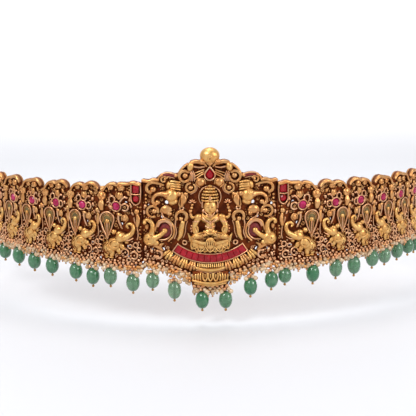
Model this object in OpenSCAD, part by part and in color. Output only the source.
// Temple-jewellery waist belt: a relief plaque in front, graded elephant panels on both
// sides, bead drops along the lower edge, and a plain strap with a clasp at the back.
// The belt stands in its worn oval. X points to the right as seen from the front, the front
// is at -Y and Z is up. The origin is the centre of the waist hollow, level with the
// panels' ruby flowers.

/* [Waist] */
// Half of the oval's width, at the panels' faces
waist_half_w = 130; // [126:1:136]
// Half of the oval's depth
waist_half_d = 105; // [101:1:110]
// Thickness of the panels' sheet
sheet_t = 1.2; // [1.0:0.1:1.4]
// Gap between neighbouring panels
panel_gap = 0.5; // [0.4:0.05:0.8]

/* [Centre plaque] */
// Half of the plaque's width, seen from the front
plaque_half_w = 31.5; // [31:0.1:31.6]
// Height of the straight shoulder above the ruby line
shoulder_z = 13.2; // [12.6:0.1:13.6]
// Radius of the finial's dome
finial_r = 4.3; // [3.8:0.1:4.6]
// Outer radius of the ruby channel
channel_r = 30.6; // [30:0.1:31.2]
// Width of the channel, with its two walls
channel_w = 4.8; // [4.4:0.1:5.2]
// Number of stones in the channel
channel_stones = 12; // [10:1:14]

/* [Stones] */
// Radius of a panel's round ruby
ruby_r = 1.95; // [1.6:0.05:2.1]
// Clearance round a stone in its setting
stone_gap = 0.1; // [0.06:0.02:0.14]

/* [Drops] */
// Width of a drop bead
bead_w = 6.5; // [5.8:0.1:6.6]
// Bore through a bead, as a radius
bead_bore_r = 0.45; // [0.4:0.05:0.6]
// Radius of the head pin's wire
pin_r = 0.3; // [0.24:0.02:0.32]

/* [Back] */
// Width of the plain strap round the back
strap_w = 10; // [8:0.5:12]
// Top of the strap, low enough for the front to hide it
strap_top = -18.5; // [-20:0.5:-17]
// Length of the plate that tapers from the last panel to the strap
plate_length = 30; // [24:1:40]
// Half length of the clasp
clasp_half = 10; // [9:0.5:12]

/* [Hidden] */
$fn = 24;
PANELS = 6;
SIDES = ["left", "right"];

// One row for each panel, from the plaque outwards:
// [inner edge, ruby, top, bottom, inner reach, outer scale, height scale, size scale]
// Edges and rubies are distances along the oval from the middle of the front.
panel_rows = [
    [32.0, 44.8, 12.9, -27.3, 1.00, 1.00, 1.00, 1.00],
    [53.3, 62.5, 12.2, -25.8, 0.80, 0.86, 0.95, 0.92],
    [69.9, 77.4, 12.2, -25.0, 0.68, 0.88, 0.92, 0.88],
    [85.8, 92.6, 12.0, -23.7, 0.62, 0.86, 0.88, 0.85],
    [100.6, 106.7, 12.3, -22.8, 0.56, 0.82, 0.85, 0.81],
    [114.2, 120.3, 12.4, -22.4, 0.56, 0.80, 0.83, 0.80]];
panels_end = 127.4;

// Bead drops: [distance along the oval, top of the bead, length of the bead]
drop_rows = [
    [-119.0, -25.9, 8.0], [-106.2, -26.0, 8.6], [-94.3, -27.4, 8.3], [-82.3, -28.3, 8.2],
    [-67.9, -29.7, 8.0], [-58.5, -31.3, 8.3], [-49.0, -30.5, 8.5], [-37.6, -33.0, 8.6],
    [-27.7, -31.9, 7.8], [-17.2, -36.0, 8.7], [-3.9, -40.8, 8.6], [7.4, -40.8, 8.6],
    [19.4, -34.8, 8.4], [29.6, -32.0, 8.2], [36.6, -30.8, 7.4], [51.2, -30.3, 8.6],
    [64.3, -28.9, 8.8], [75.4, -28.6, 9.0], [87.4, -26.9, 8.4], [96.7, -27.3, 7.7],
    [107.3, -25.9, 8.2], [118.0, -25.5, 7.9], [125.2, -25.7, 7.6]];

function two_digits(i) = str(i < 10 ? "0" : "", i);
function panel_name(side, i) = str("panel_", side, "_", i);
function ruby_name(side, i) = str("ruby_", side, "_", i);
function bead_name(i) = str("drop_bead_", two_digits(i));

// Distances along the oval, measured once in steps of one degree
function oval_step(t) = norm([waist_half_w * (sin(t + 1) - sin(t)),
                              waist_half_d * (cos(t + 1) - cos(t))]);
arc_table = [for (t = 0, run = 0; t <= 180; run = run + oval_step(t), t = t + 1) [run, t]];
half_loop = arc_table[180][0];
function angle_at(s) = sign(s) * (abs(s) <= half_loop ? lookup(abs(s), arc_table)
    : 360 - lookup(2 * half_loop - abs(s), arc_table));
function heading_at(s) = let (t = angle_at(s)) atan2(waist_half_d * sin(t), waist_half_w * cos(t));
function point_at(s, out = 0) = let (t = angle_at(s), h = heading_at(s))
    [waist_half_w * sin(t) + out * sin(h), -waist_half_d * cos(t) - out * cos(h)];

// The plaque is bent on the circle that fits the oval's front
bend_r = waist_half_w * waist_half_w / waist_half_d;
bend_y = bend_r - waist_half_d;

knuckle_r = 1.15;
knuckle_bore_r = 0.6;
knuckle_h = 2;
hinge_pin_r = 0.42;
hinge_depth = sheet_t + 1.3;
hinge_levels = [2.5, -15];
hinge_embed = 0.8;
bezel_wall = 0.55;
bezel_h = 1.5;
eyelet_r = 0.9;
eyelet_wire = 0.28;
loop_r = 0.85;
loop_wire = 0.24;
loop_drop = 1.68;
channel_wall = 0.6;
channel_mid_z = 3.9;
channel_half_angle = 35.5;
strip_x = 10.05;
strip_z = 6;
strip_upper = 2.5;
strip_lower = -2.15;
strip_round_r = 1.6;
plate_top = 8;
plate_bottom = -20;
finial_z = 24.3;
pear_z = 15.5;
pear_r = 1.85;
pear_tip = 3;
strap_rim = 1.6;
tongue = 6.5;
gold = "goldenrod";

// Local frame at distance s along the oval: x along the belt, y up, z out of its face
module on_belt(s, z = 0) {
    p = point_at(s);
    translate([p.x, p.y, z]) rotate([90, 0, heading_at(s)]) children();
}

// The same on the plaque's bent face, for a point x to the right of its middle
module on_plaque(x, z = 0) {
    turn = asin(x / bend_r);
    translate([x, bend_y - bend_r * cos(turn), z]) rotate([90, 0, turn]) children();
}

module both_sides() {
    children();
    mirror([1, 0, 0]) children();
}

// Relief outlines: a path, the widths along it, and the closed band that they make
function unit(v) = v / norm(v);
function side_points(path, widths, side) = [for (k = [0:len(path) - 1])
    let (way = unit(path[min(k + 1, len(path) - 1)] - path[max(k - 1, 0)]))
    path[k] + side * widths[k] / 2 * [-way.y, way.x]];
function reversed(points) = [for (k = [len(points) - 1:-1:0]) points[k]];
function band(path, widths) =
    concat(side_points(path, widths, 1), reversed(side_points(path, widths, -1)));
function taper(from, to, n) = [for (k = [0:n]) from + (to - from) * k / n];
function spiral(r_from, r_to, from, to, n) = [for (k = [0:n])
    let (a = from + (to - from) * k / n) (r_from + (r_to - r_from) * k / n) * [cos(a), sin(a)]];

// A scroll winds in from its outer radius by sweep degrees and ends in a round eye
module scroll(at, r, start, sweep, width) {
    n = ceil(abs(sweep) / 30);
    inner = r * 0.34;
    translate(at) {
        polygon(band(spiral(r, inner, start, start + sweep, n), taper(width, width * 0.7, n)));
        translate(inner * [cos(start + sweep), sin(start + sweep)]) circle(r = width * 0.72, $fn = 10);
    }
}

module stem(points, from, to) {
    polygon(band(points, taper(from, to, len(points) - 1)));
}

module disc(at, r) {
    translate(at) circle(r = r, $fn = 12);
}

module oval(at, width, height, turn = 0) {
    translate(at) rotate(turn) polygon([for (a = [15:30:345])
        [width / 2 * cos(a), height / 2 * sin(a)]]);
}

module ball(at, r) {
    translate(at) sphere(r = r);
}

// Teardrop with its point upwards: a round bowl and a straight-sided tip
function teardrop(r, tip) = let (open = acos(r / tip))
    concat([[0, tip]], [for (k = [0:12]) let (a = 90 + open + k * (360 - 2 * open) / 12)
        r * [cos(a), sin(a)]]);

module raise(h) {
    translate([0, 0, -0.4]) linear_extrude(h + 0.4) children();
}

module torus(r, wire) {
    rotate_extrude() translate([r, 0]) circle(r = wire);
}

// Cut stones: a table, a crown of facets, a girdle and a low pavilion
module round_stone(r) {
    rotate([0, 0, 22.5]) rotate_extrude($fn = 8)
        polygon([[0, 0], [r * 0.5, 0], [r, 0.5], [r, 0.8], [r * 0.6, 1.4], [0, 1.4]]);
}

function octagon(w, l, cut) = [
    [w / 2 - cut, -l / 2], [w / 2, -l / 2 + cut], [w / 2, l / 2 - cut], [w / 2 - cut, l / 2],
    [cut - w / 2, l / 2], [-w / 2, l / 2 - cut], [-w / 2, cut - l / 2], [cut - w / 2, -l / 2]];

module step_stone(w, l, girdle, crown) {
    linear_extrude(girdle) polygon(octagon(w, l, 0.35));
    translate([0, 0, girdle]) linear_extrude(crown, scale = [0.62, 0.72], slices = 1, $fn = 0)
        polygon(octagon(w, l, 0.35));
}

module round_bezel(r) {
    difference() {
        translate([0, 0, -0.4]) cylinder(h = bezel_h + 0.4, r = r + stone_gap + bezel_wall);
        translate([0, 0, 0.15]) cylinder(h = bezel_h, r = r + stone_gap);
    }
}

// Half of a hinge, drawn in the joint's frame: side is +1 for the piece further along
module knuckles(s, side) {
    for (level = hinge_levels) on_belt(s, level + side * (knuckle_h + 0.3) / 2)
        translate([0, 0, -hinge_depth]) rotate([-90, 0, 0]) translate([0, 0, -knuckle_h / 2])
            difference() {
                union() {
                    cylinder(h = knuckle_h, r = knuckle_r);
                    translate([side > 0 ? panel_gap / 2 : -3, -hinge_depth + sheet_t - hinge_embed, 0])
                        cube([3 - panel_gap / 2, hinge_depth - sheet_t + hinge_embed, knuckle_h]);
                }
                translate([0, 0, -1]) cylinder(h = knuckle_h + 2, r = knuckle_bore_r);
            }
}

// Ring under an edge, in the plane across the belt
module eyelet(edge_z) {
    translate([0, edge_z - 0.55, -sheet_t / 2]) rotate([0, 90, 0]) torus(eyelet_r, eyelet_wire);
}

function drop_edge(s) = abs(s) < panel_rows[0][0] ? plaque_edge(s) : panel_rows[panel_index(s)][3];
function panel_index(s) = max([for (i = [0:PANELS - 1]) panel_rows[i][0] <= abs(s) ? i : 0]);

// Lower edge of the plaque: [distance from the middle, height], read as straight stretches
plaque_low = [[0, -37.8], [7.8, -37.8], [9, -31.5], [19, -27.8], [27, -26.3],
              [plaque_half_w, -25.2]];
function plaque_edge(s) = lookup(abs(s), plaque_low);

// Centre plaque
plaque_high = [
    [plaque_half_w, shoulder_z], [26, shoulder_z + 0.2], [23.2, 15.6], [17.6, 15.9], [14.2, 16.6],
    [10.4, 20.8], [6, 21.8], [3, 23]];

function half_outline() = concat(plaque_low, plaque_high);
function mirrored(points) = [for (i = [len(points) - 1:-1:0]) [-points[i].x, points[i].y]];

// Drum on the plaque's bend, by its height above the sheet's face
module drum(h) {
    translate([0, bend_y, -61]) cylinder(h = 122, r = bend_r + h, $fn = 180);
}

// A flat shape carried straight back from a bent face, h above the sheet's
module emboss(h) {
    intersection() {
        rotate([90, 0, 0]) linear_extrude(waist_half_d + 20) children();
        drum(h);
    }
}

// The same between two bent faces
module bent_layer(low, high) {
    difference() {
        emboss(high) children();
        drum(low);
    }
}

module plaque_plate() {
    emboss(0) {
        polygon(concat(half_outline(), mirrored(half_outline())));
        translate([0, finial_z]) circle(r = finial_r - 0.3);
        for (side = [-1, 1]) {
            translate([side * 11.7, 17]) circle(r = 3.2);
            translate([side * 20.2, 14.9]) circle(r = 2.5);
        }
    }
}

// See-through spots of the plaque's right half: [x, z, radius]
plaque_holes = [[20.3, 2.4, 0.9], [23.3, 9.9, 0.55], [29.4, 1.4, 0.7], [27.9, -20.6, 0.8], [22.2, -20.2, 0.8],
                [17.3, -23.6, 0.7], [22.6, -4.6, 0.6]];

module finial() {
    on_plaque(0, finial_z) ball([0, 0, 1.1], finial_r);
    both_sides() {
        on_plaque(3.9, 21.2) ball([0, 0, 1.2], 1.9);
        emboss(1.6) oval([8, 20], 2.6, 6.4, -72);
        on_plaque(11.3, 19) ball([0, 0, 0.3], 1.6);
    }
}

module plaque_scrolls() {
    emboss(1.3) {
        scroll([11.7, 15.6], 2.9, -160, 420, 1.1);
        scroll([8.4, 9.2], 2.3, 60, 420, 0.9);
        scroll([21, 12.8], 1.9, 180, -420, 0.8);
        scroll([26.5, 8.4], 2.9, 60, -420, 1.1);
        scroll([25.8, -2.6], 2.4, 250, -420, 0.9);
        scroll([12.3, -6.2], 2.5, 200, -330, 1.1);
        scroll([26.8, -22.9], 1.9, 120, -380, 0.8);
        scroll([21.9, -23], 1.6, 60, 380, 0.7);
        oval([12.7, -12.8], 2.7, 9, 6);
        oval([11.8, 3.1], 2.9, 6, 25);
        disc([10.9, -17], 1.3);
    }
    emboss(1.7) {
        translate([17.4, 15.6]) square([5.6, 0.9]);
        disc([4.4, 12.5], 2);
        disc([19.4, -2.5], 2.5);
    }
    for (k = [0:4]) on_plaque(29.9, 5.6 - 2.1 * k) ball([0, 0, 0], 0.75);
}

module elephant_head() {
    emboss(1.9) {
        oval([16.4, 10.4], 4.8, 5.6, 10);
        stem([[18.6, 5.2], [20.6, 6], [23, 6.2], [25.3, 4.9], [26, 2.8], [24.9, 1.2], [23.2, 1.5],
              [22.7, 2.9]], 3, 1.4);
        oval([16.6, 2.7], 3, 4.4, 12);
    }
    on_plaque(17, 6.4) ball([0, 0, 1], 3.1);
    on_plaque(13.6, 6.4) ball([0, 0, 0.8], 1.35);
}

module peacock() {
    emboss(1.5) {
        stem([for (p = spiral(4.5, 4.2, -80, 200, 10)) p + [20.1, -11]], 0.6, 1.6);
        oval([22.6, -13.4], 2.9, 7.4, 50);
        oval([22.8, -17.4], 2.5, 8.6, 75);
    }
    emboss(2) stem([[29.2, -14], [30.3, -11], [29.8, -8], [27.8, -6.6], [26, -7.6], [25.9, -9.2]],
        3.2, 1.6);
    on_plaque(28.2, -15.6) ball([0, 0, 0.5], 3);
}

module seated_figure() {
    // Halo, seat cushion, torso and crown
    emboss(0.9) disc([0, 4.4], 5.1);
    emboss(1.5) {
        oval([0, -17.2], 19, 4.6);
        for (k = [-3:3]) disc([2.6 * k, -18.6 - 0.25 * (9 - k * k) / 3], 1.5);
    }
    emboss(2.6) polygon([[-5.6, -3.2], [-2, -2.2], [2, -2.2], [5.6, -3.2], [4.4, -6.4],
                         [3.1, -9], [3.6, -13], [-3.6, -13], [-3.1, -9], [-4.4, -6.4]]);
    emboss(3.2) polygon([[-3, 4], [3, 4], [2.6, 6.6], [1.6, 8.6], [0.5, 10.8], [-0.5, 10.8],
                         [-1.6, 8.6], [-2.6, 6.6]]);
    on_plaque(0, 1.9) ball([0, 0, 2], 2.6);
    // Folded legs, and arms that rest on the knees
    both_sides() {
        emboss(2.9) oval([5, -14.1], 10, 4, -4);
        emboss(3.4) stem([[5.4, -3.8], [6.7, -7.4], [7, -10], [5.9, -12.4]], 2.4, 1.5);
        emboss(1.9) {
            stem([[5.6, -3.6], [8.2, -4.4], [8.4, -1.4]], 1.5, 1);
            oval([8.4, 1.2], 1.8, 4.6);
        }
        on_plaque(8.3, -13.6) ball([0, 0, 1.9], 1.8);
        on_plaque(5.2, -4) ball([0, 0, 1.5], 1.7);
    }
}

module lotus_base() {
    emboss(1.4) {
        translate([-6.4, -30.2]) square([12.8, 3.6]);
        for (side = [-1, 1]) for (k = [0:3])
            oval([side * (8.9 + 2.3 * k), -27.6 + 0.8 * k], 2.2, 5.2, side * (20 + 9 * k));
    }
    emboss(2.2) {
        polygon([[-8.6, -31.4], [8.6, -31.4], [8.2, -34], [7, -35.4], [-7, -35.4], [-8.2, -34]]);
        translate([-7.2, -37.6]) square([14.4, 1.7]);
        for (k = [-3:3]) oval([1.8 * k, -28.4], 1.5, 3.8);
    }
    emboss(3) for (k = [-4:4]) oval([1.86 * k, -32.7], 1.5, 4.4);
}

module channel_sector(r_out, r_in, half_angle) {
    translate([0, channel_mid_z]) difference() {
        intersection() {
            circle(r = r_out, $fn = 96);
            polygon([[0, 0], [60 * sin(half_angle), -60 * cos(half_angle)],
                     [-60 * sin(half_angle), -60 * cos(half_angle)]]);
        }
        circle(r = r_in, $fn = 96);
    }
}

module ruby_channel() {
    bent_layer(-0.6, 1.7) channel_sector(channel_r, channel_r - channel_w, channel_half_angle);
}

module channel_recess() {
    bent_layer(0.5, 6) channel_sector(channel_r - channel_wall,
        channel_r - channel_w + channel_wall, channel_half_angle - 1.1);
}

module pear_setting() {
    on_plaque(0, pear_z) difference() {
        raise(bezel_h) polygon(teardrop(pear_r + 0.75, pear_tip + 1.2));
        translate([0, 0, 0.15]) linear_extrude(2)
            polygon(teardrop(pear_r + stone_gap, pear_tip + 2 * stone_gap));
    }
}

module centre_plaque() {
    color(gold) difference() {
        union() {
            difference() {
                union() {
                    plaque_plate();
                    finial();
                    both_sides() {
                        plaque_scrolls();
                        elephant_head();
                        peacock();
                    }
                    seated_figure();
                    lotus_base();
                    ruby_channel();
                    pear_setting();
                }
                drum(-sheet_t);
                channel_recess();
            }
            for (drop = drop_rows) if (abs(drop[0]) < panel_rows[0][0])
                on_plaque(drop[0]) eyelet(plaque_edge(drop[0]));
            knuckles(-panel_rows[0][0], 1);
            knuckles(panel_rows[0][0], -1);
        }
        both_sides() for (hole = plaque_holes) on_plaque(hole.x, hole.y)
            translate([0, 0, -5]) cylinder(h = 12, r = hole.z);
    }
}

module pear_ruby() {
    color("crimson") on_plaque(0, pear_z) translate([0, 0, 0.25]) {
        linear_extrude(0.8) polygon(teardrop(pear_r, pear_tip));
        translate([0, 0, 0.8]) linear_extrude(0.8, scale = 0.6) polygon(teardrop(pear_r, pear_tip));
    }
}

module channel_rubies() {
    step = 2 * (channel_half_angle - 1.3) / channel_stones;
    mid_r = channel_r - channel_w / 2;
    stone_l = channel_w - 2 * channel_wall - 2 * stone_gap;
    color("crimson") for (k = [0:channel_stones - 1]) {
        a = (k - (channel_stones - 1) / 2) * step;
        on_plaque(mid_r * sin(a), channel_mid_z - mid_r * cos(a)) rotate([0, 0, a])
            translate([0, 0, 0.6])
                step_stone(2 * mid_r * sin(step / 2) - 0.3, stone_l, 0.7, 0.7);
    }
}

// Elephant panels. Their relief is drawn with x towards the plaque and the ruby at [0, 0];
// k is a row of panel_rows.
function reach(k, x) = x * (x > 0 ? k[4] : k[5]);

function placed(k, p) = [reach(k, p.x), p.y * k[6]];

module at(k, x, z, lift = 0) {
    translate([reach(k, x), z * k[6], lift]) children();
}

module elephant(k) {
    s = k[7];
    at(k, -3.5, -20.6, 0.6) sphere(r = 3.1 * s);
    at(k, -0.8, -18.2, 1.1) sphere(r = 3.1 * s);
    at(k, 2.7, -15.2, 1.5) sphere(r = 2.5 * s);
    at(k, 1, -12.7, 0.7) sphere(r = 1.2 * s);
    raise(2.2) stem([for (p = [[3.4, -15.6], [5.8, -15.4], [8, -14], [9.3, -11.8], [8.8, -9.6],
                               [6.9, -8.9], [5.4, -10], [5.6, -11.4]]) placed(k, p)], 2.6 * s, 1.2 * s);
    raise(1.6) {
        oval(placed(k, [-4.8, -24]), 2.4 * s, 4.6 * s);
        oval(placed(k, [-1.2, -23.6]), 2.4 * s, 5.4 * s, 12);
        oval(placed(k, [2.4, -20.6]), 2.2 * s, 5.4 * s, -30);
    }
    raise(4.3 * s) oval(placed(k, [0.3, -17]), 3.8 * s, 4.2 * s, 25);
}

module feather(k) {
    s = k[7];
    at(k, -4.7, -6.4) rotate([0, 0, 180]) {
        raise(0.8) polygon(teardrop(3.3 * s, 9.4 * s));
        raise(1.4) polygon(teardrop(1.7 * s, 6.8 * s));
    }
}

module flower(k) {
    s = k[7];
    round_bezel(ruby_r);
    raise(0.7) for (a = [18, 75, 132]) rotate(a) translate([3.6, 0]) difference() {
        circle(r = 1.5 * s, $fn = 10);
        circle(r = 0.85 * s, $fn = 10);
    }
    raise(1.6) {
        disc(placed(k, [1.6, 6]), 1.6 * s);
        disc(placed(k, [4.3, -5.4]), 1.7 * s);
        stem([for (p = [[3.9, -6.2], [3.2, -8.6], [3.8, -10.8]]) placed(k, p)], 1.3 * s, 0.6 * s);
    }
}

// Buds under the crest and its rolled rim: two hoods, or one long rim beside the plaque
module crest(k, inner, long_rim) {
    s = k[7];
    at(k, -2.8, 8.1, 0.4) sphere(r = 1.4 * s);
    at(k, 3.4, 8.7, 0.4) sphere(r = 1.6 * s);
    at(k, -6.2, 4.7, 0.4) sphere(r = 1.5 * s);
    at(k, -6.4, 0.8, 0.4) sphere(r = 1.35 * s);
    raise(1.9) {
        if (long_rim)
            stem([[-6.4, -5.4], [-4.6, -2.8], [-1.5, -1.6], [4, -1.2], [inner, -1.4]]
                + [for (p = [0:4]) [0, k[2]]], 1.8, 1.3);
        else {
            stem([for (p = spiral(3.3, 3.3, -20, 120, 5)) p + [inner - 4.4, k[2] - 4.3]], 1.9, 1.7);
            stem([for (p = spiral(3.7, 3.7, 60, 160, 4)) p + [-1.6, k[2] - 5.4]], 1.7, 1.7);
        }
    }
}

module filigree(k) {
    s = k[7];
    raise(0.9) {
        scroll(placed(k, [5.8, -19.6]), 1.9 * s, -150, 300, 0.7 * s);
        scroll(placed(k, [5.2, -24]), 1.7 * s, 20, 300, 0.7 * s);
        scroll(placed(k, [-6, -15.6]), 1.3 * s, 60, 300, 0.6 * s);
        disc(placed(k, [0.8, -25.6]), 1.0 * s);
        disc(placed(k, [-7.2, -26]), 0.9 * s);
    }
}

// See-through spots: [x, z, radius]
panel_holes = [[4.6, 1.6, 0.8], [-3.2, 5.2, 0.7], [5.6, -19.6, 0.95], [5.0, -24.0, 0.8],
               [-6.2, -18.6, 0.7], [2.3, -8.6, 0.7]];

module panel_outline(from, to, top, bottom) {
    polygon([[from, bottom + 1], [from + 1.5, bottom], [to - 1.5, bottom], [to, bottom + 1],
             [to, top - 4.3], [from, top - 6.6]]);
    translate([to - 4.4, top - 4.3]) circle(r = 4.3);
    translate([0.2 * from, top - 5.4]) circle(r = 4.7);
    translate([from + 2.3, top - 6.6]) circle(r = 2.3);
}

module strip_setting() {
    translate([strip_x, strip_z, 0]) difference() {
        translate([0, 0, -0.4]) linear_extrude(1.9) polygon(octagon(4.9, 10.8, 0.9));
        translate([0, strip_upper, 0.3]) linear_extrude(3) polygon(octagon(3.4, 4.1, 0.4));
        translate([0, strip_lower, 0.3]) cylinder(h = 3, r = strip_round_r + stone_gap);
    }
}

function panel_next(i) = i < PANELS - 1 ? panel_rows[i + 1][0] : panels_end;
function panel_mid(i) = (panel_rows[i][0] + panel_next(i)) / 2;

// Frame of panel i with x towards the plaque and the ruby at [0, 0]: side is -1 on the left
module on_panel(i, side) {
    on_belt(side * panel_mid(i)) scale([-side, 1, 1])
        translate([panel_mid(i) - panel_rows[i][1], 0, 0]) children();
}

module panel_face(i) {
    row = panel_rows[i];
    inner = row[1] - row[0] - panel_gap / 2;
    outer = panel_next(i) - row[1] - panel_gap / 2;
    intersection() {
        union() {
            translate([0, 0, -sheet_t - 1]) linear_extrude(sheet_t + 1)
                panel_outline(-outer - 0.5, inner + 0.5, row[2], row[3]);
            crest(row, inner, i == 0);
            flower(row);
            feather(row);
            elephant(row);
            filigree(row);
            if (i == 0) {
                strip_setting();
                translate([1, row[2] - 7, -sheet_t - 1]) cube([inner - 1, 6.4, sheet_t + 1]);
            }
        }
        translate([-outer, -60, -sheet_t]) cube([outer + inner, 120, 30]);
    }
}

module panel(i, side) {
    row = panel_rows[i];
    color(gold) {
        difference() {
            on_panel(i, side) panel_face(i);
            on_panel(i, side) for (hole = panel_holes) at(row, hole.x, hole.y)
                translate([0, 0, -5]) cylinder(h = 12, r = hole.z * row[7]);
        }
        for (drop = drop_rows) if (sign(drop[0]) == side && panel_index(drop[0]) == i)
            if (abs(drop[0]) > row[0]) at_drop(drop[0]) translate([0, 0, sheet_t / 2])
                eyelet(row[3]);
        knuckles(side * row[0], side);
        knuckles(side * panel_next(i), -side);
    }
}

module ruby(i, side) {
    color("crimson") on_panel(i, side) translate([0, 0, 0.25]) round_stone(ruby_r);
}

module strip_rubies() {
    color("crimson") for (side = [-1, 1]) on_panel(0, side)
        translate([strip_x, strip_z, 0.4]) {
            translate([0, strip_upper, 0]) step_stone(3.2, 3.9, 0.8, 0.6);
            translate([0, strip_lower, 0]) round_stone(strip_round_r);
        }
}

// A drop hangs straight down from its eyelet. Its frame is the eyelet's.
module at_drop(s) {
    if (abs(s) < panel_rows[0][0]) on_plaque(s) translate([0, 0, -sheet_t / 2]) children();
    else {
        mid = sign(s) * panel_mid(panel_index(s));
        on_belt(mid) translate([s - mid, 0, -sheet_t / 2]) children();
    }
}

module drop_bead(drop) {
    half = drop[2] / 2;
    color("mediumseagreen") at_drop(drop[0]) translate([0, drop[1] - half, 0]) rotate([-90, 0, 0])
        rotate_extrude() difference() {
            polygon(concat([[0, -half]], [for (a = [-75:15:75])
                [bead_w / 2 * pow(cos(a), 0.7), half * sin(a)]], [[0, half]]));
            translate([-1, -half - 1]) square([1 + bead_bore_r, drop[2] + 2]);
        }
}

module drop_pin(drop) {
    edge = drop_edge(drop[0]);
    low = drop[1] - drop[2];
    at_drop(drop[0]) {
        translate([0, edge - loop_drop, 0]) torus(loop_r, loop_wire);
        translate([0, edge - loop_drop - loop_r, 0]) rotate([90, 0, 0])
            cylinder(h = edge - loop_drop - loop_r - low + 0.3, r = pin_r);
        translate([0, low - 0.75, 0]) sphere(r = 0.65);
    }
}

module drop_pins() {
    color(gold) for (drop = drop_rows) drop_pin(drop);
}

// Where pieces hinge, from left to right
hinge_places = concat(
    [for (side = [-1, 1]) for (row = panel_rows) side * row[0]], [-panels_end, panels_end]);

module hinge_pins() {
    reach = knuckle_h + 0.15 + 0.75;
    low = hinge_levels[1] - reach;
    high = hinge_levels[0] + reach;
    color(gold) for (s = hinge_places) on_belt(s) translate([0, 0, -hinge_depth]) {
        translate([0, low, 0]) rotate([-90, 0, 0]) cylinder(h = high - low, r = hinge_pin_r);
        for (end = [low, high]) translate([0, end, 0]) sphere(r = 0.85);
    }
}

// A curved strip between two offsets from the oval
module curved_strip(from, to, low_out, high_out, z0, z1, steps) {
    outer = [for (k = [0:steps]) point_at(from + (to - from) * k / steps, high_out)];
    inner = [for (k = [steps:-1:0]) point_at(from + (to - from) * k / steps, low_out)];
    translate([0, 0, z0]) linear_extrude(z1 - z0) polygon(concat(outer, inner));
}

// Upright plate behind the last panel, cut slantwise down to the strap
module end_plate(side) {
    start = panels_end + panel_gap / 2;
    near = point_at(start).y - 2;
    far = point_at(start + plate_length).y;
    intersection() {
        curved_strip(side * start, side * (start + plate_length), -sheet_t, 0,
                     strap_top - strap_w, plate_top, 10);
        rotate([90, 0, 90]) linear_extrude(2 * waist_half_w, center = true)
            polygon([[near, plate_bottom], [near + 12, plate_bottom],
                     [near + 20, strap_top - strap_w], [far + 2, strap_top - strap_w],
                     [far + 2, strap_top], [far - 2, strap_top], [near + 6, plate_top],
                     [near, plate_top]]);
    }
}

// Half of the back: the end plate, and a strap with a rolled rim on both edges
module back_band(side) {
    start = panels_end + panel_gap / 2 + plate_length;
    rims_end = half_loop - clasp_half - 0.4;
    color(gold) {
        end_plate(side);
        curved_strip(side * (start - 1), side * (rims_end + tongue), -sheet_t, 0,
                     strap_top - strap_w, strap_top, 24);
        for (z = [strap_top - strap_w, strap_top - strap_rim])
            curved_strip(side * (start - 1), side * rims_end, -sheet_t - 0.5, 0.9,
                         z, z + strap_rim, 24);
        knuckles(side * panels_end, side);
    }
}

module back_clasp() {
    slot_end = clasp_half - tongue - 0.1;
    bottom = strap_top - strap_w;
    color(gold) difference() {
        curved_strip(half_loop - clasp_half, half_loop + clasp_half, -sheet_t - 1.2, 1.4,
                     bottom - 1.8, strap_top + 1.8, 8);
        for (side = [-1, 1])
            curved_strip(half_loop + side * (clasp_half + 1), half_loop + side * slot_end,
                         -sheet_t - 0.25, 0.25, bottom - 0.25, strap_top + 0.25, 4);
    }
}

centre_plaque();
pear_ruby();
channel_rubies();
strip_rubies();
for (side = [-1, 1]) for (i = [1:PANELS]) {
    side_name = SIDES[side < 0 ? 0 : 1];
    panel(i - 1, side);
    ruby(i - 1, side);
}
for (i = [1:len(drop_rows)])
    drop_bead(drop_rows[i - 1]);
drop_pins();
hinge_pins();
back_band(-1);  // back_band_left
back_band(1);  // back_band_right
back_clasp();
